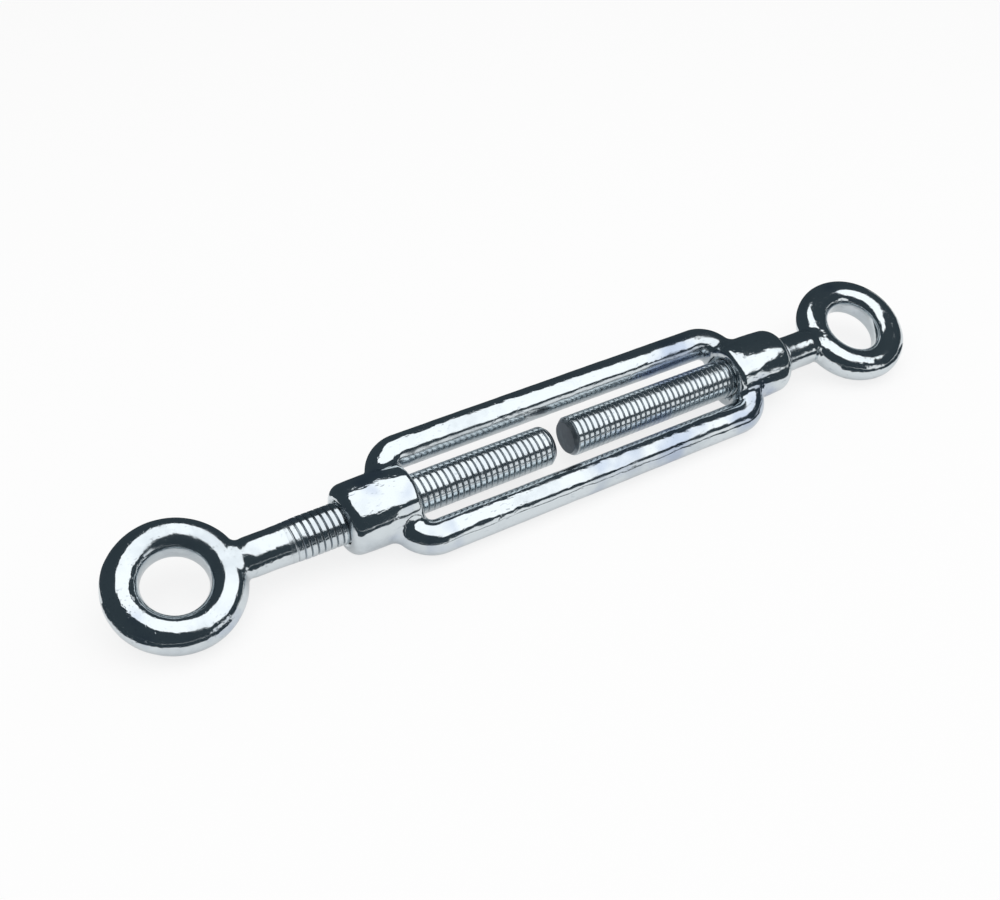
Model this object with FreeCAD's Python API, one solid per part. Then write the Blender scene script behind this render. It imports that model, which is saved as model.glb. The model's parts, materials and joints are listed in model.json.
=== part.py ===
import FreeCAD, Part
import math
import os
from FreeCAD import Vector

# A rigging screw of the open-body kind, used to tighten a shroud or a wire.
# A one-piece forged body carries a threaded boss at each end, with an open window between.
# An eye bolt with a right-hand thread enters one boss, and one with a left-hand thread the other.
# All lengths are millimetres. Each piece is drawn about the rod axis, with the body flat in XY,
# and then laid down as it rests on a table, on its two bosses and on one side bar.

# Forged body, with the faces of the bosses set back a little from the window's ends
window_length = 89.4
boss_recess = 1.2
boss_length = 16.6
boss_diameter = 17.0
boss_end_round = 2.6
boss_inner_round = 0.8
bar_diameter = 8.2
bar_spacing = 22.7
bar_flat_width = 0.41
corner_inner_radius = 2.2
junction_fillet = 1.5
mouth_chamfer = 0.7

# Threaded rods, drawn at the diameter of their crests
thread_diameter = 9.7
bore_clearance = 0.05
tip_chamfer_length = 1.1
tip_diameter = 7.9
bolt_length = 92.0
neck_length = 12.7
neck_diameter = 9.3
root_diameter = 7.4
root_length = 1.5

# Forged eyes
eye_ring_diameter = 21.9
eye_bar_diameter = 8.5
eye_land_width = 3.0
eye_root_fillet = 1.5

# How far the bolts are screwed in: where the left rod's tip lies, measured from the middle of the
# body, and how far the right rod's tip lies beyond it
left_tip_place = -8.0
tip_gap = 5.0
eye_floor_gap = 0.2

# Worked out from the sizes above
boss_inner_end = window_length / 2 + boss_recess
boss_outer_end = boss_inner_end + boss_length
left_eye_distance = bolt_length - left_tip_place
right_eye_distance = bolt_length + left_tip_place + tip_gap
boss_radius = boss_diameter / 2
bar_radius = bar_diameter / 2
bar_offset = bar_spacing / 2
corner_outer_radius = corner_inner_radius + bar_diameter
thread_radius = thread_diameter / 2
neck_radius = neck_diameter / 2
root_radius = root_diameter / 2
tip_radius = tip_diameter / 2
bore_radius = thread_radius + bore_clearance
eye_radius = eye_ring_diameter / 2
eye_bar_radius = eye_bar_diameter / 2
eye_hole_radius = eye_radius - math.sqrt(eye_bar_radius ** 2 - (eye_land_width / 2) ** 2)
cross_offset = window_length / 2 + bar_radius
body_lean = math.degrees(math.asin((boss_radius - bar_radius) / bar_offset))
eye_lean = math.degrees(math.asin((boss_radius - eye_bar_radius - eye_floor_gap) / eye_radius))
eye_reach = eye_radius + eye_bar_radius
bbox_centre_x = (right_eye_distance - left_eye_distance) / 2

along_rod = Vector(1, 0, 0)
upward = Vector(0, 0, 1)
middle = Vector(0, 0, 0)


def revolve_about_rod(edges):
    """Turns a closed outline, drawn in the XY half plane above the rod axis, into a solid."""
    face = Part.Face(Part.Wire(edges))
    return face.revolve(middle, along_rod, 360)


def line(start, end):
    return Part.makeLine(Vector(start[0], start[1], 0), Vector(end[0], end[1], 0))


def quarter_round(start, end, centre, radius):
    """An arc of the outline from start to end that bulges away from its centre."""
    half_way = Vector((start[0] + end[0]) / 2 - centre[0], (start[1] + end[1]) / 2 - centre[1], 0)
    half_way.normalize()
    bulge = Vector(centre[0], centre[1], 0) + half_way * radius
    return Part.Arc(Vector(start[0], start[1], 0), bulge, Vector(end[0], end[1], 0)).toShape()


def boss():
    """The boss at the +X end: a short round barrel with soft edges, before it is bored."""
    inner = boss_inner_end
    outer = boss_outer_end
    inner_centre = (inner + boss_inner_round, boss_radius - boss_inner_round)
    end_centre = (outer - boss_end_round, boss_radius - boss_end_round)
    inner_top = (inner_centre[0], boss_radius)
    end_top = (end_centre[0], boss_radius)
    edges = [
        line((inner, 0), (inner, inner_centre[1])),
        quarter_round((inner, inner_centre[1]), inner_top, inner_centre, boss_inner_round),
        line(inner_top, end_top),
        quarter_round(end_top, (outer, end_centre[1]), end_centre, boss_end_round),
        line((outer, end_centre[1]), (outer, 0)),
        line((outer, 0), (inner, 0)),
    ]
    return revolve_about_rod(edges)


def rounded_outline(half_length, half_width, corner_radius):
    """A closed rounded rectangle, at the underside of the bar, centred on the rod axis."""
    straight_x = half_length - corner_radius
    straight_y = half_width - corner_radius
    low = -bar_radius
    edges = [
        Part.makeLine(Vector(-straight_x, -half_width, low), Vector(straight_x, -half_width, low)),
        Part.makeLine(Vector(half_length, -straight_y, low), Vector(half_length, straight_y, low)),
        Part.makeLine(Vector(straight_x, half_width, low), Vector(-straight_x, half_width, low)),
        Part.makeLine(Vector(-half_length, straight_y, low), Vector(-half_length, -straight_y, low)),
    ]
    for side_x, side_y, start_angle in ((1, 1, 0), (-1, 1, 90), (-1, -1, 180), (1, -1, 270)):
        centre = Vector(side_x * straight_x, side_y * straight_y, low)
        edges.append(Part.makeCircle(corner_radius, centre, upward, start_angle, start_angle + 90))
    return Part.Wire(Part.__sortEdges__(edges))


def bar_frame():
    """The rounded frame of bar: a slotted plate as thick as the bar, with its edges rolled round."""
    outside = rounded_outline(cross_offset + bar_radius, bar_offset + bar_radius, corner_outer_radius)
    window = rounded_outline(cross_offset - bar_radius, bar_offset - bar_radius, corner_inner_radius)
    plate = Part.Face(outside).cut(Part.Face(window)).extrude(upward * bar_diameter)
    rims = [edge for edge in plate.Edges if abs(abs(edge.CenterOfMass.z) - bar_radius) < 0.001]
    return plate.makeFillet(bar_radius - bar_flat_width / 2, rims)


def mirrored(shape, normal):
    return shape.mirror(middle, normal)


def junction_edges(shape):
    """The edges on a boss's barrel where the frame runs into it."""
    found = []
    for edge in shape.Edges:
        distances = [math.hypot(vertex.Point.y, vertex.Point.z) for vertex in edge.Vertexes]
        on_barrel = all(abs(distance - boss_radius) < 0.01 for distance in distances)
        box = edge.BoundBox
        crosses = box.XLength > 0.1 and box.ZLength > 0.1
        if on_barrel and crosses and len(distances) == 2:
            found.append(edge)
    return found


def bored(shape):
    """Bores both bosses, breaks the edges of the mouths and clears the rods' way through the window."""
    wide = bore_radius + mouth_chamfer
    shape = shape.cut(Part.makeCylinder(
        bore_radius, 2 * boss_outer_end, Vector(-boss_outer_end, 0, 0), along_rod))
    shape = shape.cut(Part.makeCylinder(
        wide, 2 * boss_inner_end, Vector(-boss_inner_end, 0, 0), along_rod))
    for place, inward in ((boss_outer_end, -1), (boss_inner_end, 1)):
        cone = Part.makeCone(wide, bore_radius, mouth_chamfer, Vector(place, 0, 0), along_rod * inward)
        shape = shape.cut(cone)
        shape = shape.cut(mirrored(cone, along_rod))
    return shape


def turnbuckle_body():
    """The forged body: two bosses joined by a rounded frame of bar, with the window between."""
    body = bar_frame().fuse([boss(), mirrored(boss(), along_rod)]).removeSplitter()
    body = body.makeFillet(junction_fillet, junction_edges(body))
    return bored(body)


def shank():
    """The rod of an eye bolt: root, smooth neck, threaded length and chamfered tip, eye at the origin."""
    thread_start = eye_reach + neck_length
    run_out = thread_radius - neck_radius
    outline = [
        (eye_radius, 0), (eye_radius, root_radius), (eye_reach + root_length, neck_radius),
        (thread_start, neck_radius), (thread_start + run_out, thread_radius),
        (bolt_length - tip_chamfer_length, thread_radius), (bolt_length, tip_radius), (bolt_length, 0)]
    edges = []
    for index, point in enumerate(outline):
        edges.append(line(point, outline[(index + 1) % len(outline)]))
    return revolve_about_rod(edges)


def root_edges(shape):
    """The edges where the rod's root runs into the ring."""
    found = []
    for edge in shape.Edges:
        box = edge.BoundBox
        if box.XMin > eye_radius and box.XMax < eye_reach and box.YLength > root_radius:
            found.append(edge)
    return found


def eye_bolt():
    """A forged ring on a rod along +X, with the ring flat in XY and its throat dressed to a land."""
    ring = Part.makeTorus(eye_radius, eye_bar_radius, middle, upward)
    ring.rotate(middle, upward, 180)
    bolt = ring.fuse(shank())
    bolt = bolt.makeFillet(eye_root_fillet, root_edges(bolt))
    hole = Part.makeCylinder(eye_hole_radius, eye_bar_diameter, Vector(0, 0, -eye_bar_radius), upward)
    return bolt.cut(hole)


def laid_down(shape, lean):
    """Leans a piece about the rod axis and sets the assembly on the table, centred over the origin."""
    shape = shape.copy()
    shape.rotate(middle, along_rod, lean)
    shape.translate(Vector(-bbox_centre_x, 0, boss_radius))
    return shape


def left_bolt():
    """The eye bolt at the -X end, screwed in until its eye is at its distance from the middle."""
    bolt = eye_bolt()
    bolt.translate(Vector(-left_eye_distance, 0, 0))
    return laid_down(bolt, eye_lean)


def right_bolt():
    """The eye bolt at the +X end, which faces the other way."""
    bolt = eye_bolt()
    bolt.rotate(middle, upward, 180)
    bolt.translate(Vector(right_eye_distance, 0, 0))
    return laid_down(bolt, eye_lean)


os.makedirs("parts", exist_ok=True)
laid_down(turnbuckle_body(), body_lean).exportStep("parts/turnbuckle_body.step")
left_bolt().exportStep("parts/right_hand_eye_bolt.step")
right_bolt().exportStep("parts/left_hand_eye_bolt.step")
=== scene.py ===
import json
import math

import bmesh
import bpy
import numpy as np
from bpy.props import FloatProperty, FloatVectorProperty, IntProperty, PointerProperty
from mathutils import Matrix, Vector


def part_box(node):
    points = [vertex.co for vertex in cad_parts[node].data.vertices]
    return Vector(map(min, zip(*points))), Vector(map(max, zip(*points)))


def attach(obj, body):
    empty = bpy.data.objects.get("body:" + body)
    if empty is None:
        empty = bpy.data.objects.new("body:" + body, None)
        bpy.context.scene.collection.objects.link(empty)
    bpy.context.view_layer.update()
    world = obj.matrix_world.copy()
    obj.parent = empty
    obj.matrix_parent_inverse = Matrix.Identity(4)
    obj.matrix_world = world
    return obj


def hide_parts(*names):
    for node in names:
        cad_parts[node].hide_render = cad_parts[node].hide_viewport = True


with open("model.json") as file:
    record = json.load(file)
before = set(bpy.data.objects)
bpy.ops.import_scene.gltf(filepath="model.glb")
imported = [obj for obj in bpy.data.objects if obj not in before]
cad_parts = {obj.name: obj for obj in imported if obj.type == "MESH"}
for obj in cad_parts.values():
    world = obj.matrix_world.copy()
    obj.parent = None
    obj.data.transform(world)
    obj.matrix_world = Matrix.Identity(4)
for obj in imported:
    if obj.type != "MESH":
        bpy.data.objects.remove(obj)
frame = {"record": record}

# A rigging screw with two eyes, in forged steel with a bright zinc plating.
# Sizes are metres. The body and the bolts are drawn flat about the rod axis, which is X, and are
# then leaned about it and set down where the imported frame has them.

bl_info = {
    "name": "Rigging screw with two eyes",
    "version": (1, 0, 0),
    "blender": (4, 5, 0),
    "location": "View3D > Sidebar > Rigging screw",
    "description": "Dresses the packed rigging screw with forged skins, cut threads and plating",
    "category": "Add Mesh",
}

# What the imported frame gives: the two eyes' centres, and how the eyes lean
eye_mounts = {mount["name"]: mount for mount in frame["record"]["mounts"]}
left_eye_x = eye_mounts["right_hand_eye"]["pos_m"][0]
right_eye_x = eye_mounts["left_hand_eye"]["pos_m"][0]
rod_height = eye_mounts["right_hand_eye"]["pos_m"][2]
eye_axis = eye_mounts["right_hand_eye"]["axis"]
eye_lean = math.atan2(-eye_axis[1], eye_axis[2])
eye_hole_radius = eye_mounts["right_hand_eye"]["dims"]["r_mm"] / 1000
body_low, body_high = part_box("turnbuckle_body")
bolt_low, bolt_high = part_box("right_hand_eye_bolt")


class BodySizes(bpy.types.PropertyGroup):
    """Sizes of the forged body."""

    window_length: FloatProperty(
        name="Window length", description="Clear length inside the frame of bar",
        default=0.0894, unit="LENGTH")
    bar_diameter: FloatProperty(
        name="Bar diameter", description="Thickness of the two side bars",
        default=0.0082, unit="LENGTH")
    bar_spacing: FloatProperty(
        name="Bar spacing", description="Distance between the middles of the side bars",
        default=0.0227, unit="LENGTH")
    corner_radius: FloatProperty(
        name="Corner radius", description="Radius of the bar's middle line at the frame's corners",
        default=0.0063, unit="LENGTH")
    boss_recess: FloatProperty(
        name="Boss recess", description="How far a boss's inner face lies behind the window's end",
        default=0.0004, unit="LENGTH")
    boss_end_round: FloatProperty(
        name="Boss end round", description="Radius of a boss's outer edge",
        default=0.0026, unit="LENGTH")
    boss_inner_round: FloatProperty(
        name="Boss inner round", description="Radius of a boss's inner edge",
        default=0.0015, unit="LENGTH")
    boss_crown: FloatProperty(
        name="Boss crown", description="How much slimmer a boss is at its ends than at its middle",
        default=0.0004, unit="LENGTH")
    junction_round: FloatProperty(
        name="Junction round", description="Radius of the blend between the frame and a boss",
        default=0.0013, unit="LENGTH")
    bore_radius: FloatProperty(
        name="Bore radius", description="Radius of the bore that a rod runs in",
        default=0.0049, unit="LENGTH")
    mouth_chamfer: FloatProperty(
        name="Mouth chamfer", description="Width of the chamfer at each mouth of a bore",
        default=0.0007, unit="LENGTH")
    mouth_round: FloatProperty(
        name="Mouth round", description="Radius that softens the chamfer's edges",
        default=0.00025, unit="LENGTH")
    cell: FloatProperty(
        name="Mesh cell", description="Size of the mesh's cells", default=0.00042, unit="LENGTH")


class BoltSizes(bpy.types.PropertyGroup):
    """Sizes of an eye bolt."""

    eye_bar_diameter: FloatProperty(
        name="Eye bar diameter", description="Thickness of the eye's ring",
        default=0.0085, unit="LENGTH")
    root_radius: FloatProperty(
        name="Root radius", description="Radius of the neck where it leaves the ring",
        default=0.0037, unit="LENGTH")
    root_length: FloatProperty(
        name="Root length", description="Length over which the root swells to the neck",
        default=0.0015, unit="LENGTH")
    root_round: FloatProperty(
        name="Root round", description="Radius of the blend between the ring and the neck",
        default=0.0012, unit="LENGTH")
    throat_round: FloatProperty(
        name="Throat round", description="Radius at the edges of the eye's dressed throat",
        default=0.0006, unit="LENGTH")
    neck_length: FloatProperty(
        name="Neck length", description="Length of the smooth neck, up to the thread's first groove",
        default=0.0092, unit="LENGTH")
    neck_radius: FloatProperty(
        name="Neck radius", description="Radius of the smooth neck", default=0.00465, unit="LENGTH")
    crest_radius: FloatProperty(
        name="Crest radius", description="Radius over the thread's crests",
        default=0.00485, unit="LENGTH")
    thread_pitch: FloatProperty(
        name="Thread pitch", description="Distance between two crests", default=0.0015, unit="LENGTH")
    thread_depth: FloatProperty(
        name="Thread depth", description="Depth from crest to root", default=0.0005, unit="LENGTH")
    run_out: FloatProperty(
        name="Run-out", description="Length over which the thread grows from the neck",
        default=0.0042, unit="LENGTH")
    tip_radius: FloatProperty(
        name="Tip radius", description="Radius of the flat at the rod's tip",
        default=0.00395, unit="LENGTH")
    tip_chamfer: FloatProperty(
        name="Tip chamfer", description="Length of the chamfer at the rod's tip",
        default=0.0011, unit="LENGTH")
    steps_around: IntProperty(
        name="Steps around", description="Mesh steps round the thread", default=56, min=16)
    cell: FloatProperty(
        name="Mesh cell", description="Size of the ring's mesh cells", default=0.00034, unit="LENGTH")


class PlatingLooks(bpy.types.PropertyGroup):
    """Colours and relief of the zinc plating."""

    zinc: FloatVectorProperty(
        name="Zinc", description="Colour of the clean plating", subtype="COLOR",
        size=3, min=0, max=1, default=(0.66, 0.715, 0.745))
    dulled_zinc: FloatVectorProperty(
        name="Dulled zinc", description="Colour of the plating where it has dulled", subtype="COLOR",
        size=3, min=0, max=1, default=(0.50, 0.555, 0.60))
    # Painted shade: the colour laid down in the thread's roots stands in for the shade that falls in them.
    thread_root_shade: FloatVectorProperty(
        name="Thread root shade", description="Colour down in the thread", subtype="COLOR",
        size=3, min=0, max=1, default=(0.24, 0.27, 0.30))
    blued_zinc: FloatVectorProperty(
        name="Blued zinc", description="Colour of the plating where the passivation is thickest",
        subtype="COLOR", size=3, min=0, max=1, default=(0.40, 0.47, 0.60))
    # Painted shade: the dark colour of the rods' tips stands in for the shadowed floor that their faces
    # mirror.
    tip_shade_colour: FloatVectorProperty(
        name="Tip shade", description="Colour of the rods' sheared tips", subtype="COLOR",
        size=3, min=0, max=1, default=(0.085, 0.105, 0.125))
    wave_height: FloatProperty(
        name="Forging waves", description="Height of the soft waves left by the dies",
        default=0.00012, unit="LENGTH")
    ripple_height: FloatProperty(
        name="Forging ripples", description="Height of the shorter ripples on the waves",
        default=0.00005, unit="LENGTH")
    body_dents: FloatProperty(
        name="Body dents", description="Height in millimetres of the dents on the body", default=0.15)
    body_dent_stretch: FloatProperty(
        name="Body dent stretch", default=0.45,
        description="Scale of the body's dents along the rods, where less than 1 draws them out")
    eye_dents: FloatProperty(
        name="Eye dents", description="Height in millimetres of the dents on the eyes", default=0.12)
    thread_dents: FloatProperty(
        name="Thread dents", description="Height in millimetres of the dents on the threads", default=0.05)


class StudioSizes(bpy.types.PropertyGroup):
    """The camera and the lights."""

    camera_place: FloatVectorProperty(
        name="Camera place", description="Where the camera stands", size=3, unit="LENGTH",
        default=(-0.1361, -0.1810, 0.2042))
    camera_azimuth: FloatProperty(
        name="Camera azimuth", description="The view's turn from +Y towards +X", subtype="ANGLE",
        default=math.radians(33.58))
    camera_elevation: FloatProperty(
        name="Camera elevation", description="The view's dip below the horizon", subtype="ANGLE",
        default=math.radians(41.43))
    camera_roll: FloatProperty(
        name="Camera roll", description="The camera's turn about its view", subtype="ANGLE",
        default=math.radians(3.22))
    lens: FloatProperty(
        name="Lens", description="Focal length in millimetres for a 36 mm sensor", default=45.28)
    softbox_height: FloatProperty(
        name="Softbox height", description="Height of the lamp over the floor",
        default=0.60, unit="LENGTH")
    softbox_length: FloatProperty(
        name="Softbox length", description="The lamp's size along the rods", default=1.0, unit="LENGTH")
    softbox_width: FloatProperty(
        name="Softbox width", description="The lamp's size across the rods", default=0.66, unit="LENGTH")
    softbox_watts: FloatProperty(
        name="Softbox power", description="The lamp's power in watts", default=2.7)
    # Painted highlight: the glowing screen shows only in reflections and gives the metal its highlights.
    screen_height: FloatProperty(
        name="Screen height", description="Height of the pale screen that the metal mirrors",
        default=0.30, unit="LENGTH")
    screen_brightness: FloatProperty(
        name="Screen brightness", description="How bright the mirrored screen is", default=1.4)
    # Painted reflection: the colour of the dark cards that only the metal's reflections see.
    painted_dark_reflection: FloatVectorProperty(
        name="Painted dark reflection", description="Colour of the dark cards that the metal mirrors", subtype="COLOR",
        size=3, min=0, max=1, default=(0.040, 0.055, 0.065))


def settings(name):
    return getattr(bpy.context.scene, "rigging_screw_" + name)


# Distances, with which the forged shapes are described. Each is negative inside the metal.


def rounded_join(first, second, radius):
    """Joins two shapes and fills the valley between them with a fillet."""
    near_first = np.maximum(radius - first, 0)
    near_second = np.maximum(radius - second, 0)
    return np.maximum(radius, np.minimum(first, second)) - np.hypot(near_first, near_second)


def rounded_overlap(first, second, radius):
    """Keeps what two shapes share, and rounds the edge between them."""
    past_first = np.maximum(radius + first, 0)
    past_second = np.maximum(radius + second, 0)
    return np.minimum(-radius, np.maximum(first, second)) + np.hypot(past_first, past_second)


def uneven_waves(x, y, z, seed, shortest, longest):
    """Soft uneven waves between 0 and 1, with lengths between the shortest and the longest."""
    draw = np.random.default_rng(seed)
    total = np.zeros_like(x)
    wave_count = 9
    for _ in range(wave_count):
        direction = draw.normal(size=3)
        direction /= np.linalg.norm(direction)
        length = draw.uniform(shortest, longest)
        phase = draw.uniform(0, 2 * math.pi)
        along = direction[0] * x + direction[1] * y + direction[2] * z
        total += np.sin(2 * math.pi * along / length + phase)
    return 0.5 + 0.5 * total / wave_count


def forged_unevenness(x, y, z):
    """How far the forged skin lies under the true shape."""
    looks = settings("looks")
    wave_seed, shortest_wave, longest_wave = 11, 0.006, 0.015
    ripple_seed, shortest_ripple, longest_ripple = 12, 0.0022, 0.005
    waves = uneven_waves(x, y, z, wave_seed, shortest_wave, longest_wave)
    ripples = uneven_waves(x, y, z, ripple_seed, shortest_ripple, longest_ripple)
    return looks.wave_height * waves + looks.ripple_height * ripples


def body_distance(x, y, z):
    """The forged body: a rounded frame of bar joined to two bored bosses."""
    sizes = settings("body")
    bar_radius = sizes.bar_diameter / 2
    inner_face = sizes.window_length / 2 + sizes.boss_recess
    outer_face = (body_high.x - body_low.x) / 2
    corner = sizes.corner_radius
    out_x = np.abs(x) - (sizes.window_length / 2 + bar_radius - corner)
    out_y = np.abs(y) - (sizes.bar_spacing / 2 - corner)
    beyond = np.hypot(np.maximum(out_x, 0), np.maximum(out_y, 0))
    from_middle_line = beyond + np.minimum(np.maximum(out_x, out_y), 0) - corner
    frame_of_bar = np.hypot(from_middle_line, z) - bar_radius

    from_axis = np.hypot(y, z)
    past_end = np.abs(x) - outer_face
    before_face = inner_face - np.abs(x)
    from_boss_middle = (past_end - before_face) / (outer_face - inner_face)
    most_crowns = 2
    slimming = sizes.boss_crown * np.minimum(from_boss_middle ** 2, most_crowns)
    barrel = from_axis - rod_height + slimming
    boss = rounded_overlap(barrel, past_end, sizes.boss_end_round)
    boss = rounded_overlap(boss, before_face, sizes.boss_inner_round)
    body = rounded_join(frame_of_bar, boss, sizes.junction_round)

    wide_mouth = sizes.bore_radius + sizes.mouth_chamfer
    bore = from_axis - sizes.bore_radius
    outer_mouth = (from_axis - wide_mouth - past_end) / math.sqrt(2)
    inner_mouth = np.maximum((from_axis - wide_mouth - before_face) / math.sqrt(2), before_face)
    way_through = np.maximum(from_axis - wide_mouth, -before_face)
    hole = np.minimum(np.minimum(bore, outer_mouth), np.minimum(inner_mouth, way_through))
    body = rounded_overlap(body, -hole, sizes.mouth_round)
    return body + forged_unevenness(x, y, z)


def bolt_ring_radius():
    """Radius of the middle line of an eye's ring, from the frame's box."""
    return -left_bolt_end() - settings("bolt").eye_bar_diameter / 2


def left_bolt_end():
    """The outer end of the left bolt's ring, seen from the middle of its eye."""
    return bolt_low.x - left_eye_x


def bolt_length():
    """Length of a bolt from the middle of its eye to the rod's tip."""
    return bolt_high.x - left_eye_x


def eye_distance(x, y, z):
    """The forged end of a bolt: the ring, its root and the smooth neck, with the eye at the origin."""
    sizes = settings("bolt")
    bar_radius = sizes.eye_bar_diameter / 2
    ring_radius = bolt_ring_radius()
    reach = ring_radius + bar_radius
    from_eye = np.hypot(x, y)
    ring = np.hypot(from_eye - ring_radius, z) - bar_radius

    share = np.clip((x - ring_radius) / (reach + sizes.root_length - ring_radius), 0, 1)
    swell = share * share * (3 - 2 * share)
    neck_radius = sizes.root_radius + (sizes.neck_radius - sizes.root_radius) * swell
    hidden_slimming, hidden_share = 0.0015, 0.62
    inside_ring = 1 - np.clip((x - ring_radius) / (hidden_share * bar_radius), 0, 1)
    neck = np.hypot(y, z) - neck_radius + hidden_slimming * inside_ring ** 2
    hidden_end, end_round = 0.0006, 0.0001
    neck = rounded_overlap(neck, x - (reach + sizes.neck_length + hidden_end), end_round)
    neck = np.maximum(neck, ring_radius - x)
    forged = rounded_join(ring, neck, sizes.root_round)
    forged = rounded_overlap(forged, eye_hole_radius - from_eye, sizes.throat_round)
    smooth_length, shift_from_body = 0.003, 0.3
    fade = np.clip((reach + sizes.neck_length - x) / smooth_length, 0, 1)
    return forged + fade * forged_unevenness(x, y + shift_from_body, z)


def slopes(distance, points):
    """How fast the distance grows along X, Y and Z at each point."""
    reach = 0.00002
    found = np.empty_like(points)
    for axis in range(3):
        ahead = points.copy()
        behind = points.copy()
        ahead[:, axis] += reach
        behind[:, axis] -= reach
        found[:, axis] = (distance(*ahead.T) - distance(*behind.T)) / (2 * reach)
    return found


def pulled_to_surface(distance, points, rounds):
    """Moves the points along the slope until they lie on the shape's surface."""
    least_steepness = 0.2
    for _ in range(rounds):
        slope = slopes(distance, points)
        steepness = np.maximum((slope ** 2).sum(axis=1), least_steepness)
        points = points - (distance(*points.T) / steepness)[:, None] * slope
    return points


def crossed_cells(inside):
    """Numbers the grid cells that have corners on both sides of the surface, and -1 elsewhere."""
    counts = np.zeros([length - 1 for length in inside.shape], int)
    for corner in np.ndindex(2, 2, 2):
        window = tuple(slice(c, c + n) for c, n in zip(corner, counts.shape))
        counts += inside[window]
    crossed = (counts > 0) & (counts < 8)
    numbers = np.full(counts.shape, -1)
    numbers[crossed] = np.arange(crossed.sum())
    return numbers, np.argwhere(crossed)


def crossing_quads(inside, numbers):
    """One quad round each grid edge that passes through the surface, facing out of the metal."""
    quads = []
    for axis in range(3):
        second, third = (axis + 1) % 3, (axis + 2) % 3
        step = np.eye(3, dtype=int)
        near = np.take(inside, range(inside.shape[axis] - 1), axis)
        far = np.take(inside, range(1, inside.shape[axis]), axis)
        for leaving in (True, False):
            at = np.argwhere(near & ~far if leaving else ~near & far)
            ring = [at, at - step[second], at - step[second] - step[third], at - step[third]]
            corners = np.stack([numbers[tuple(cell.T)] for cell in ring], axis=1)
            quads.append(corners if leaving else corners[:, ::-1])
    return np.concatenate(quads)


def evened_out(points, quads):
    """Moves each vertex halfway to the middle of the quads round it."""
    middles = points[quads].mean(axis=1)
    total = np.zeros_like(points)
    count = np.zeros(len(points))
    for corner in range(4):
        np.add.at(total, quads[:, corner], middles)
        np.add.at(count, quads[:, corner], 1)
    return 0.5 * points + 0.5 * total / count[:, None]


def skin_of(distance, low, high, cell):
    """A fine quad mesh on the surface of a shape, with the outward direction at each vertex."""
    margin = 2.5 * cell
    low = np.array(low) - margin
    steps = np.ceil((np.array(high) + margin - low) / cell).astype(int) + 1
    lines = [low[axis] + cell * np.arange(steps[axis]) for axis in range(3)]
    inside = distance(*np.meshgrid(*lines, indexing="ij")) < 0
    numbers, cells = crossed_cells(inside)
    quads = crossing_quads(inside, numbers)
    first_pulls, evenings, later_pulls = 4, 4, 2
    points = pulled_to_surface(distance, low + (cells + 0.5) * cell, first_pulls)
    for _ in range(evenings):
        points = pulled_to_surface(distance, evened_out(points, quads), later_pulls)
    outward = slopes(distance, points)
    outward /= np.linalg.norm(outward, axis=1)[:, None]
    return points, quads, outward


def leaned(points, lean):
    """Turns points about the rod axis."""
    turn = np.array(Matrix.Rotation(lean, 3, "X"))
    return points @ turn.T


def new_piece(name, points, faces):
    """A mesh object with smooth faces."""
    mesh = bpy.data.meshes.new(name)
    mesh.from_pydata(points.tolist(), [], faces.tolist())
    mesh.shade_smooth()
    piece = bpy.data.objects.new(name, mesh)
    bpy.context.scene.collection.objects.link(piece)
    return piece


def thread_profile():
    """Half a pitch of the thread, from crest to root: places along it, and shares of the depth there."""
    crest, edge, root = 0.335, 0.03, 0.46
    places = (0, crest - 2 * edge, crest - edge, crest, crest + edge, root - edge, root, 0.5)
    depths = (0, 0, 0, 0.05, 0.20, 0.86, 0.97, 1.0)
    return np.array(places), np.array(depths)


def thread_radius_at(x, turn, start, end, hand):
    """Radius of the threaded rod at a place along it and a turn round it, from 0 to 1."""
    sizes = settings("bolt")
    phase = ((x - start) / sizes.thread_pitch - hand * turn) % 1.0
    fall = np.interp(np.minimum(phase, 1 - phase), *thread_profile())
    growth = np.clip((x - start) / sizes.run_out, 0, 1)
    crest = sizes.neck_radius + (sizes.crest_radius - sizes.neck_radius) * growth
    crest_rise = 0.00001
    radius = crest + crest_rise - sizes.thread_depth * fall * growth
    taper = (sizes.crest_radius - sizes.tip_radius) / sizes.tip_chamfer
    return np.minimum(radius, sizes.tip_radius + taper * (end - x))


def threaded_rod(start, end, hand):
    """Vertices and faces of the threaded length. Rows follow the helix, so the crests stay clean."""
    sizes = settings("bolt")
    around = sizes.steps_around
    pitch = sizes.thread_pitch
    half = thread_profile()[0]
    steps = np.concatenate([half[:-1], 1 - half[:0:-1]])
    pitches_before, pitches_after = 2, 1
    pitches = int(math.ceil((end - start) / pitch)) + pitches_before + pitches_after
    row_place = (np.arange(pitches)[:, None] + steps[None, :]).ravel() - pitches_before
    row, column = np.meshgrid(np.arange(len(row_place)), np.arange(around + 1), indexing="ij")
    turn = column / around
    x = np.clip(start + pitch * (row_place[row] + hand * turn), start, end)
    radius = thread_radius_at(x, turn % 1.0, start, end, hand)
    angle = 2 * math.pi * turn
    points = np.stack([x, radius * np.cos(angle), radius * np.sin(angle)], axis=2).reshape(-1, 3)
    first = (row * (around + 1) + column)[:-1, :-1].ravel()
    faces = np.stack([first, first + around + 1, first + around + 2, first + 1], axis=1)
    return points, faces


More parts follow.
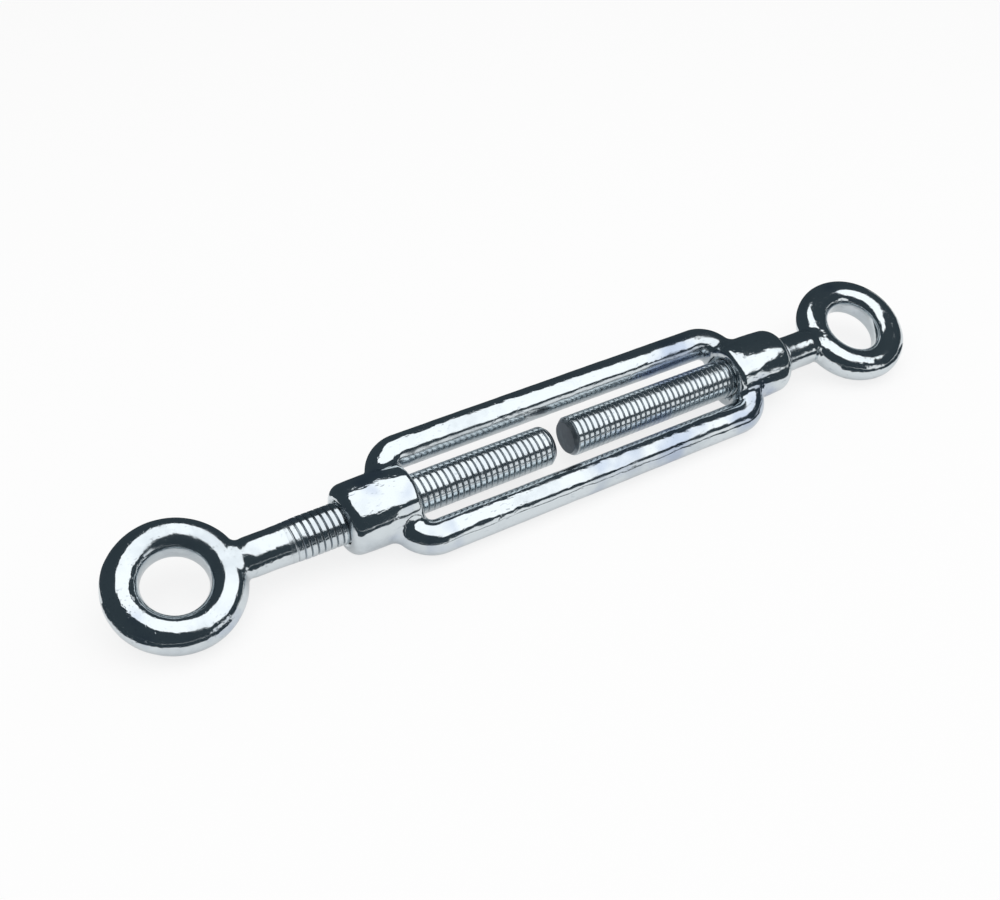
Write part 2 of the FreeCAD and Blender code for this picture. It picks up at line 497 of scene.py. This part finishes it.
def closed_rod(mesh_name, start, end, hand):
    """The threaded length as a clean closed mesh."""
    merged_within, shortest_edge, sharpest_smooth = 0.000002, 0.000001, math.radians(50)
    points, faces = threaded_rod(start, end, hand)
    mesh = bpy.data.meshes.new(mesh_name)
    mesh.from_pydata(points.tolist(), [], faces.tolist())
    work = bmesh.new()
    work.from_mesh(mesh)
    bmesh.ops.remove_doubles(work, verts=work.verts, dist=merged_within)
    bmesh.ops.dissolve_degenerate(work, edges=work.edges, dist=shortest_edge)
    open_edges = [edge for edge in work.edges if edge.is_boundary]
    bmesh.ops.holes_fill(work, edges=open_edges, sides=0)
    bmesh.ops.recalc_face_normals(work, faces=work.faces)
    work.to_mesh(mesh)
    work.free()
    mesh.shade_smooth()
    mesh.set_sharp_from_angle(angle=sharpest_smooth)
    return mesh


# Shader node groups


def new_group(name, inputs, outputs):
    """An empty shader node group with named float or colour inputs and outputs."""
    group = bpy.data.node_groups.new(name, "ShaderNodeTree")
    kinds = {"value": "NodeSocketFloat", "colour": "NodeSocketColor", "vector": "NodeSocketVector"}
    for label, kind, default in inputs:
        socket = group.interface.new_socket(label, in_out="INPUT", socket_type=kinds[kind])
        socket.default_value = default
    for label, kind in outputs:
        group.interface.new_socket(label, in_out="OUTPUT", socket_type=kinds[kind])
    entry = group.nodes.new("NodeGroupInput")
    exit_node = group.nodes.new("NodeGroupOutput")
    return group, entry, exit_node


def add_noise(group, position, scale, detail, roughness=0.5):
    """A noise texture at a scale that may be a number or a socket."""
    node = group.nodes.new("ShaderNodeTexNoise")
    group.links.new(position, node.inputs["Vector"])
    if isinstance(scale, (int, float)):
        node.inputs["Scale"].default_value = scale
    else:
        group.links.new(scale, node.inputs["Scale"])
    node.inputs["Detail"].default_value = detail
    node.inputs["Roughness"].default_value = roughness
    return node.outputs["Fac"]


def add_math(group, operation, first, second):
    """A math node whose inputs may be numbers or sockets."""
    node = group.nodes.new("ShaderNodeMath")
    node.operation = operation
    for socket, value in zip(node.inputs, (first, second)):
        if isinstance(value, (int, float)):
            socket.default_value = value
        else:
            group.links.new(value, socket)
    return node.outputs["Value"]


def add_range(group, value, low, high, to_low, to_high):
    """Maps a value's range to another, and stops at the ends."""
    node = group.nodes.new("ShaderNodeMapRange")
    node.interpolation_type = "SMOOTHSTEP"
    group.links.new(value, node.inputs["Value"])
    for label, number in (("From Min", low), ("From Max", high), ("To Min", to_low), ("To Max", to_high)):
        node.inputs[label].default_value = number
    return node.outputs["Result"]


def add_mix(group, share, first, second):
    """A colour between two, each a socket."""
    node = group.nodes.new("ShaderNodeMix")
    node.data_type = "RGBA"
    group.links.new(share, node.inputs["Factor"])
    group.links.new(first, node.inputs["A"])
    group.links.new(second, node.inputs["B"])
    return node.outputs["Result"]


def forged_relief_group():
    """Height in millimetres of the plated skin: dents that are patchy, fine grain and small pits."""
    group, entry, exit_node = new_group(
        "Forged relief",
        [("Position", "vector", (0, 0, 0)), ("Along the rod", "value", 1.0), ("Dent height", "value", 0.1),
         ("Grain height", "value", 0.01), ("Pit depth", "value", 0.02)],
        [("Height", "value"), ("Pits", "value")])
    stretch = group.nodes.new("ShaderNodeCombineXYZ")
    group.links.new(entry.outputs["Along the rod"], stretch.inputs["X"])
    stretch.inputs["Y"].default_value = 1.0
    stretch.inputs["Z"].default_value = 1.0
    scaled = group.nodes.new("ShaderNodeVectorMath")
    scaled.operation = "MULTIPLY"
    group.links.new(entry.outputs["Position"], scaled.inputs[0])
    group.links.new(stretch.outputs["Vector"], scaled.inputs[1])
    position = scaled.outputs["Vector"]
    patch_scale, dent_scale, grain_scale, pit_scale = 150.0, 620.0, 2400.0, 1500.0
    rough_patches = add_range(group, add_noise(group, position, patch_scale, 2.0), 0.42, 0.66, 0.25, 1.0)
    dents = add_math(group, "MULTIPLY", add_noise(group, position, dent_scale, 1.5), rough_patches)
    dent_height = add_math(group, "MULTIPLY", dents, entry.outputs["Dent height"])
    grain = add_math(group, "MULTIPLY", add_noise(group, position, grain_scale, 1.0), rough_patches)
    grain_height = add_math(group, "MULTIPLY", grain, entry.outputs["Grain height"])
    pit_noise = add_range(group, add_noise(group, position, pit_scale, 1.0), 0.62, 0.74, 0.0, 1.0)
    pits = add_math(group, "MULTIPLY", pit_noise, rough_patches)
    pit_height = add_math(group, "MULTIPLY", pits, entry.outputs["Pit depth"])
    height = add_math(group, "SUBTRACT", add_math(group, "ADD", dent_height, grain_height), pit_height)
    group.links.new(height, exit_node.inputs["Height"])
    group.links.new(pits, exit_node.inputs["Pits"])
    return group


def plating_colour_group():
    """Colour and roughness of the zinc: clean, with cloudy dulled patches, blued ones and darker pits."""
    group, entry, exit_node = new_group(
        "Zinc plating",
        [("Position", "vector", (0, 0, 0)), ("Zinc", "colour", (1, 1, 1, 1)),
         ("Dulled zinc", "colour", (1, 1, 1, 1)), ("Blued zinc", "colour", (1, 1, 1, 1)),
         ("Pits", "value", 0.0), ("Cloud scale", "value", 90.0)],
        [("Colour", "colour"), ("Roughness", "value")])
    position = entry.outputs["Position"]
    cloud_noise = add_noise(group, position, entry.outputs["Cloud scale"], 4.0, 0.6)
    clouds = add_range(group, cloud_noise, 0.45, 0.75, 0.0, 0.7)
    dulled = add_math(group, "MAXIMUM", clouds, entry.outputs["Pits"])
    plain = add_mix(group, dulled, entry.outputs["Zinc"], entry.outputs["Dulled zinc"])
    blued_scale = 55.0
    blued = add_range(group, add_noise(group, position, blued_scale, 3.0), 0.56, 0.70, 0.0, 0.8)
    colour = add_mix(group, blued, plain, entry.outputs["Blued zinc"])
    group.links.new(colour, exit_node.inputs["Colour"])
    bright_roughness, dulled_roughness = 0.09, 0.22
    roughness = add_range(group, dulled, 0.0, 1.0, bright_roughness, dulled_roughness)
    group.links.new(roughness, exit_node.inputs["Roughness"])
    return group


def thread_depth_group():
    """How deep a point lies in the thread, from 0 at the crests to 1 at the roots."""
    group, entry, exit_node = new_group(
        "Depth in the thread",
        [("Position", "vector", (0, 0, 0)), ("Rod height", "value", 0.0),
         ("Root radius", "value", 0.0), ("Crest radius", "value", 1.0)],
        [("Depth", "value")])
    split = group.nodes.new("ShaderNodeSeparateXYZ")
    group.links.new(entry.outputs["Position"], split.inputs[0])
    rise = add_math(group, "SUBTRACT", split.outputs["Z"], entry.outputs["Rod height"])
    square_y = add_math(group, "MULTIPLY", split.outputs["Y"], split.outputs["Y"])
    square_z = add_math(group, "MULTIPLY", rise, rise)
    radius = add_math(group, "SQRT", add_math(group, "ADD", square_y, square_z), 0.0)
    node = group.nodes.new("ShaderNodeMapRange")
    group.links.new(radius, node.inputs["Value"])
    group.links.new(entry.outputs["Root radius"], node.inputs["From Min"])
    group.links.new(entry.outputs["Crest radius"], node.inputs["From Max"])
    node.inputs["To Min"].default_value = 1.0
    node.inputs["To Max"].default_value = 0.0
    group.links.new(node.outputs["Result"], exit_node.inputs["Depth"])
    return group


def shared_group(name, builder):
    """The node group of that name, which is built once."""
    return bpy.data.node_groups.get(name) or builder()


def place_group(material, name, builder):
    node = material.node_tree.nodes.new("ShaderNodeGroup")
    node.node_tree = shared_group(name, builder)
    return node


def plated_material(name, dent_height, along_the_rod=1.0):
    """A zinc plated forging, with dents of a height in millimetres. Returns it with its main nodes."""
    looks = settings("looks")
    material = bpy.data.materials.new(name)
    material.use_nodes = True
    tree = material.node_tree
    tree.nodes.clear()
    output = tree.nodes.new("ShaderNodeOutputMaterial")
    surface = tree.nodes.new("ShaderNodeBsdfPrincipled")
    tree.links.new(surface.outputs["BSDF"], output.inputs["Surface"])
    surface.inputs["Metallic"].default_value = 1.0
    position = tree.nodes.new("ShaderNodeTexCoord").outputs["Object"]
    relief = place_group(material, "Forged relief", forged_relief_group)
    relief.inputs["Dent height"].default_value = dent_height
    relief.inputs["Along the rod"].default_value = along_the_rod
    plating = place_group(material, "Zinc plating", plating_colour_group)
    plating.inputs["Zinc"].default_value = (*looks.zinc, 1)
    plating.inputs["Dulled zinc"].default_value = (*looks.dulled_zinc, 1)
    plating.inputs["Blued zinc"].default_value = (*looks.blued_zinc, 1)
    bump = tree.nodes.new("ShaderNodeBump")
    bump.inputs["Strength"].default_value = 1.0
    bump.inputs["Distance"].default_value = 0.001
    tree.links.new(position, relief.inputs["Position"])
    tree.links.new(position, plating.inputs["Position"])
    tree.links.new(relief.outputs["Pits"], plating.inputs["Pits"])
    tree.links.new(relief.outputs["Height"], bump.inputs["Height"])
    tree.links.new(plating.outputs["Colour"], surface.inputs["Base Color"])
    tree.links.new(plating.outputs["Roughness"], surface.inputs["Roughness"])
    tree.links.new(bump.outputs["Normal"], surface.inputs["Normal"])
    return material, surface, plating, position


def eye_material():
    """The plated skin of an eye and its neck."""
    return plated_material("plated_eye", settings("looks").eye_dents)[0]


def tip_material():
    """The tip face of a rod, duller than the plating round it, with its dark colour a painted shade: the
    shadowed floor that the face mirrors.
    """
    looks = settings("looks")
    material, surface, plating, _ = plated_material("painted_shade_tip", looks.eye_dents)
    lighter, darker, added_roughness = 1.6, 0.7, 0.2
    # Painted shade: the tip face takes this dark colour in place of the zinc.
    shaded = looks.tip_shade_colour
    plating.inputs["Zinc"].default_value = (*shaded, 1)
    plating.inputs["Dulled zinc"].default_value = (*[lighter * channel for channel in shaded], 1)
    plating.inputs["Blued zinc"].default_value = (*[darker * channel for channel in shaded], 1)
    tree = material.node_tree
    roughness = add_math(tree, "ADD", plating.outputs["Roughness"], added_roughness)
    tree.links.new(roughness, surface.inputs["Roughness"])
    return material


def thread_material():
    """The plated thread, duller down in its roots, where painted shade also darkens its colour."""
    sizes, looks = settings("bolt"), settings("looks")
    material, surface, plating, position = plated_material("plated_thread", looks.thread_dents)
    tree = material.node_tree
    depth = place_group(material, "Depth in the thread", thread_depth_group)
    depth.inputs["Rod height"].default_value = rod_height
    depth.inputs["Root radius"].default_value = sizes.crest_radius - sizes.thread_depth
    depth.inputs["Crest radius"].default_value = sizes.crest_radius
    tree.links.new(position, depth.inputs["Position"])
    # Painted shade: the colour darkens towards the thread's roots, where shade falls.
    root_shade = tree.nodes.new("ShaderNodeMix")
    root_shade.data_type = "RGBA"
    root_shade.inputs["B"].default_value = (*looks.thread_root_shade, 1)
    tree.links.new(plating.outputs["Colour"], root_shade.inputs["A"])
    clean_depth, most_root_shade = 0.25, 0.85
    root_shade_share = add_range(tree, depth.outputs["Depth"], clean_depth, 1.0, 0.0, most_root_shade)
    tree.links.new(root_shade_share, root_shade.inputs["Factor"])
    tree.links.new(root_shade.outputs["Result"], surface.inputs["Base Color"])
    crest_roughness, root_roughness = 0.14, 0.38
    roughness = add_range(tree, depth.outputs["Depth"], 0.0, 1.0, crest_roughness, root_roughness)
    tree.links.new(roughness, surface.inputs["Roughness"])
    return material


def window_side(points, outward):
    """How far each point of the body faces the rods from the sides of the window, from 0 to 1."""
    sizes = settings("body")
    fade_length, facing_from, facing_span = 0.003, 0.45, 0.3
    in_window = np.clip((sizes.window_length / 2 - np.abs(points[:, 0])) / fade_length, 0, 1)
    facing = -outward[:, 1] * np.sign(points[:, 1])
    towards_rods = np.clip(facing - facing_from, 0, facing_span) / facing_span
    return in_window * towards_rods


def body_material():
    """The plated body, duller on the sides of its window, which the plating reached less."""
    looks = settings("looks")
    material, surface, plating, _ = plated_material(
        "plated_body", looks.body_dents, looks.body_dent_stretch)
    tree = material.node_tree
    side = tree.nodes.new("ShaderNodeAttribute")
    side.attribute_name = "window_side"
    added_roughness = 0.10
    duller = add_math(tree, "MULTIPLY", side.outputs["Fac"], added_roughness)
    roughness = add_math(tree, "ADD", plating.outputs["Roughness"], duller)
    tree.links.new(roughness, surface.inputs["Roughness"])
    return material


class RIGGING_OT_forged_body(bpy.types.Operator):
    """Builds the forged body with its two bosses"""

    bl_idname = "rigging.forged_body"
    bl_label = "Forged body"

    def execute(self, context):
        sizes = settings("body")
        half_length = (body_high.x - body_low.x) / 2
        half_width = (sizes.bar_spacing + sizes.bar_diameter) / 2
        corner = np.array((half_length, half_width, rod_height))
        points, quads, outward = skin_of(body_distance, -corner, corner, sizes.cell)
        bar_drop = rod_height - sizes.bar_diameter / 2
        lean = math.asin(bar_drop / (sizes.bar_spacing / 2))
        middle = np.array(((body_high.x + body_low.x) / 2, 0, rod_height))
        piece = new_piece("forged_body", leaned(points, lean) + middle, quads)
        piece.data.normals_split_custom_set_from_vertices(leaned(outward, lean).tolist())
        side = piece.data.attributes.new("window_side", "FLOAT", "POINT")
        side.data.foreach_set("value", window_side(points, outward))
        piece.data.materials.append(body_material())
        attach(piece, "body")
        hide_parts("turnbuckle_body")
        return {"FINISHED"}


def dressed_bolt(node, eye_x, facing, hand):
    """An eye bolt in place of its CAD node. Facing is 1 where the rod runs towards +X."""
    sizes = settings("bolt")
    reach = bolt_ring_radius() + sizes.eye_bar_diameter / 2
    rod_start = reach + sizes.neck_length
    low = (-reach, -reach, -sizes.neck_radius)
    room_at_neck = 0.001
    high = (rod_start + room_at_neck, reach, sizes.neck_radius)
    points, quads, outward = skin_of(eye_distance, low, high, sizes.cell)
    turn = np.diag([facing, facing, 1.0])
    place = np.array((eye_x, 0, rod_height))
    piece = new_piece(node + "_dressed", leaned(points @ turn, eye_lean) + place, quads)
    piece.data.normals_split_custom_set_from_vertices(leaned(outward @ turn, eye_lean).tolist())
    piece.data.materials.append(bpy.data.materials.get("plated_eye") or eye_material())

    rod_mesh = closed_rod(node + "_rod", rod_start, bolt_length(), hand)
    rod_mesh.transform(Matrix(turn.tolist()).to_4x4())
    rod_mesh.transform(Matrix.Translation(Vector(place)))
    rod_mesh.materials.append(bpy.data.materials.get("plated_thread") or thread_material())
    rod_mesh.materials.append(bpy.data.materials.get("painted_shade_tip") or tip_material())
    # The faces at the tip take the painted shade material.
    at_tip_within = 0.00005
    for face in rod_mesh.polygons:
        at_tip = abs(abs(face.center.x - eye_x) - bolt_length()) < at_tip_within
        face.material_index = int(at_tip)
    rod = bpy.data.objects.new(node + "_thread", rod_mesh)
    bpy.context.scene.collection.objects.link(rod)
    for part in (piece, rod):
        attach(part, node)
        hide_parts(node)


class RIGGING_OT_eye_bolts(bpy.types.Operator):
    """Builds the two eye bolts, one with a right-hand thread and one with a left-hand thread"""

    bl_idname = "rigging.eye_bolts"
    bl_label = "Eye bolts"

    def execute(self, context):
        dressed_bolt("right_hand_eye_bolt", left_eye_x, 1, 1)
        dressed_bolt("left_hand_eye_bolt", right_eye_x, -1, -1)
        return {"FINISHED"}


def pale_floor():
    """A plain white floor that keeps the shadow."""
    half = 2.0
    corners = np.array([(-half, -half, 0), (half, -half, 0), (half, half, 0), (-half, half, 0)])
    floor = new_piece("floor", corners, np.array([[0, 1, 2, 3]]))
    material = bpy.data.materials.new("floor_white")
    material.use_nodes = True
    tree = material.node_tree
    tree.nodes.clear()
    output = tree.nodes.new("ShaderNodeOutputMaterial")
    paint = tree.nodes.new("ShaderNodeBsdfDiffuse")
    paint.inputs["Color"].default_value = (0.88, 0.88, 0.88, 1)
    glow = tree.nodes.new("ShaderNodeEmission")
    glow.inputs["Color"].default_value = (1, 1, 1, 1)
    mix = tree.nodes.new("ShaderNodeMixShader")
    path = tree.nodes.new("ShaderNodeLightPath")
    seen_share, mirrored_share = 0.8, 0.35
    seen = add_math(tree, "MULTIPLY", path.outputs["Is Camera Ray"], seen_share)
    mirrored = add_math(tree, "MULTIPLY", path.outputs["Is Glossy Ray"], mirrored_share)
    tree.links.new(add_math(tree, "ADD", seen, mirrored), mix.inputs["Fac"])
    tree.links.new(paint.outputs["BSDF"], mix.inputs[1])
    tree.links.new(glow.outputs["Emission"], mix.inputs[2])
    tree.links.new(mix.outputs["Shader"], output.inputs["Surface"])
    floor.data.materials.append(material)


def seen_rays(tree):
    """1 for the rays in which a background shows: from the camera, off metal and through glass."""
    path = tree.nodes.new("ShaderNodeLightPath")
    direct = add_math(tree, "MAXIMUM", path.outputs["Is Camera Ray"], path.outputs["Is Glossy Ray"])
    return add_math(tree, "MAXIMUM", direct, path.outputs["Is Transmission Ray"])


def white_world():
    """A white world behind everything, with a dim even fill."""
    world = bpy.data.worlds.new("studio")
    bpy.context.scene.world = world
    world.use_nodes = True
    tree = world.node_tree
    background = tree.nodes["Background"]
    background.inputs["Color"].default_value = (1, 1, 1, 1)
    fill = 0.6
    strength = add_math(tree, "MAXIMUM", seen_rays(tree), fill)
    tree.links.new(strength, background.inputs["Strength"])


def mirrored_card(name, corners, colour, strength=1.0):
    """A glowing card that shows only in reflections: a painted reflection, pale for painted highlights or
    dark for a painted dark surround.
    """
    card = new_piece(name, np.array(corners), np.arange(len(corners))[None, :])
    material = bpy.data.materials.new(name)
    material.use_nodes = True
    tree = material.node_tree
    tree.nodes.clear()
    output = tree.nodes.new("ShaderNodeOutputMaterial")
    glow = tree.nodes.new("ShaderNodeEmission")
    glow.inputs["Color"].default_value = (*colour, 1)
    glow.inputs["Strength"].default_value = strength
    tree.links.new(glow.outputs["Emission"], output.inputs["Surface"])
    card.data.materials.append(material)
    card.visible_camera = False
    card.visible_shadow = False
    card.visible_diffuse = False


def painted_shade_arc(name, middle_x, from_angle, to_angle):
    """A dark card on the floor that runs round the front of an eye, between two angles in degrees: a
    painted reflection of the shadow there, seen only in reflections.
    """
    near, far, height, steps = 0.026, 0.76, 0.0004, 13
    angles = np.radians(np.linspace(from_angle, to_angle, steps))
    outer = [(middle_x + far * math.cos(a), far * math.sin(a), height) for a in angles]
    inner = [(middle_x + near * math.cos(a), near * math.sin(a), height) for a in angles[::-1]]
    mirrored_card(name, outer + inner, settings("studio").painted_dark_reflection)


def level_card(name, x_range, y_range, height):
    """A dark level card for a painted dark reflection, given by its ends and sides."""
    (left, right), (front, back) = x_range, y_range
    corners = [(left, front, height), (right, front, height), (right, back, height), (left, back, height)]
    mirrored_card(name, corners, settings("studio").painted_dark_reflection)


def lamp_and_painted_reflections():
    """A lamp for the floor, which the metal doesn't mirror, and painted reflections for the metal: a
    glowing pale screen for its painted highlights, in dark cards for its painted dark surround.
    """
    sizes = settings("studio")
    lamp = bpy.data.lights.new("softbox", "AREA")
    lamp.shape = "RECTANGLE"
    lamp.size = sizes.softbox_length
    lamp.size_y = sizes.softbox_width
    lamp.energy = sizes.softbox_watts
    softbox = bpy.data.objects.new("softbox", lamp)
    towards_camera = -0.07
    softbox.location = (0, towards_camera, sizes.softbox_height)
    softbox.visible_glossy = False
    softbox.visible_camera = False
    bpy.context.scene.collection.objects.link(softbox)

    # Painted highlight: a glowing pale screen that only the metal's reflections see.
    top = sizes.screen_height
    outline = [
        (-0.177, 0.0), (-0.13, 0.09), (-0.067, 0.155), (0.0, 0.26), (0.09, 0.25), (0.16, 0.16),
        (0.24, 0.04), (0.29, -0.02), (0.38, -0.12), (0.34, -0.42), (0.06, -0.36), (-0.11, -0.13)]
    screen = [(x, y, top) for x, y in outline]
    mirrored_card("painted_highlight_screen", screen, (1, 1, 1), sizes.screen_brightness)

    # Painted reflections: dark cards round the object that only the metal's reflections see.
    painted_dark_reflection = sizes.painted_dark_reflection
    left, right, front, back = -1.0, 1.1, -0.75, 0.8
    above = top + 0.002
    right_gap = 0.05
    level_card("painted_reflection_ceiling", (left, right), (front, back), above)
    mirrored_card("painted_reflection_left_wall", [
        (left, front, 0), (left, back, 0), (left, back, above), (left, front, above)], painted_dark_reflection)
    mirrored_card("painted_reflection_right_wall", [
        (right, front, right_gap), (right, back, right_gap),
        (right, back, above), (right, front, above)], painted_dark_reflection)
    mirrored_card("painted_reflection_back_wall", [
        (left, back, 0), (right, back, 0), (right, back, above), (left, back, above)], painted_dark_reflection)
    front_outline = [
        (left, 0), (0.2, 0.02), (0.28, 0.25), (0.62, 0.27), (0.75, 0.03), (right, 0.0), (right, above),
        (left, above)]
    mirrored_card("painted_reflection_front_wall", [(x, front, z) for x, z in front_outline], painted_dark_reflection)

    behind, behind_end, behind_height = 0.11, 0.3, 0.11
    mirrored_card("painted_reflection_behind", [
        (-behind_end, behind, 0), (behind_end, behind, 0),
        (behind_end, behind, behind_height), (-behind_end, behind, behind_height)], painted_dark_reflection)
    flag_height = 0.08
    flag = [(0.092, 0.12), (0.092, -0.004), (0.115, -0.011), (0.16, -0.012), (0.2, -0.004), (0.2, 0.12)]
    mirrored_card("painted_reflection_flag", [(x, y, flag_height) for x, y in flag], painted_dark_reflection)
    apron_front, apron_height = 0.022, 0.0004
    level_card("painted_reflection_apron", (-behind_end, behind_end), (apron_front, behind), apron_height)
    # Painted shade: dark arcs that the eyes, necks and bosses mirror in place of the shadow round them.
    painted_shade_arc("painted_shade_arc_left", left_eye_x, 150, 314)
    painted_shade_arc("painted_shade_arc_right", right_eye_x, 225, 345)


def photo_camera():
    """The camera at the photograph's viewing angle."""
    sizes = settings("studio")
    azimuth, elevation, roll = sizes.camera_azimuth, sizes.camera_elevation, sizes.camera_roll
    level = math.cos(elevation)
    forward = Vector((math.sin(azimuth) * level, math.cos(azimuth) * level, -math.sin(elevation)))
    level_right = Vector((math.cos(azimuth), -math.sin(azimuth), 0))
    level_up = level_right.cross(forward)
    right = level_right * math.cos(roll) + level_up * math.sin(roll)
    up = right.cross(forward)
    data = bpy.data.cameras.new("photo_camera")
    data.lens = sizes.lens
    data.sensor_width = 36.0
    data.clip_start = 0.01
    camera = bpy.data.objects.new("photo_camera", data)
    turn = Matrix((right, up, -forward)).transposed().to_4x4()
    camera.matrix_world = Matrix.Translation(Vector(sizes.camera_place)) @ turn
    bpy.context.scene.collection.objects.link(camera)
    bpy.context.scene.camera = camera


class RIGGING_OT_stage(bpy.types.Operator):
    """Builds the floor, the lights and the camera"""

    bl_idname = "rigging.stage"
    bl_label = "Stage"

    def execute(self, context):
        pale_floor()
        white_world()
        lamp_and_painted_reflections()
        photo_camera()
        context.scene.view_settings.view_transform = "Standard"
        return {"FINISHED"}


class RIGGING_PT_panel(bpy.types.Panel):
    """Lists what can be built, with the sizes and colours"""

    bl_idname = "RIGGING_PT_panel"
    bl_label = "Rigging screw"
    bl_space_type = "VIEW_3D"
    bl_region_type = "UI"
    bl_category = "Rigging screw"

    def draw(self, context):
        for operator in ("rigging.forged_body", "rigging.eye_bolts", "rigging.stage"):
            self.layout.operator(operator)
        for name in ("body", "bolt", "looks", "studio"):
            group = settings(name)
            box = self.layout.box()
            for label in group.bl_rna.properties.keys():
                if label not in ("rna_type", "name"):
                    box.prop(group, label)


groups = {"body": BodySizes, "bolt": BoltSizes, "looks": PlatingLooks, "studio": StudioSizes}
operators = (RIGGING_OT_forged_body, RIGGING_OT_eye_bolts, RIGGING_OT_stage)


def register():
    for name, group in groups.items():
        bpy.utils.register_class(group)
        setattr(bpy.types.Scene, "rigging_screw_" + name, PointerProperty(type=group))
    for operator in operators:
        bpy.utils.register_class(operator)
    bpy.utils.register_class(RIGGING_PT_panel)


def unregister():
    bpy.utils.unregister_class(RIGGING_PT_panel)
    for operator in reversed(operators):
        bpy.utils.unregister_class(operator)
    for name, group in groups.items():
        delattr(bpy.types.Scene, "rigging_screw_" + name)
        bpy.utils.unregister_class(group)


def main():
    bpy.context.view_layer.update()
    register()
    bpy.ops.rigging.forged_body()
    bpy.ops.rigging.eye_bolts()
    bpy.ops.rigging.stage()


if __name__ == "__main__":
    main()
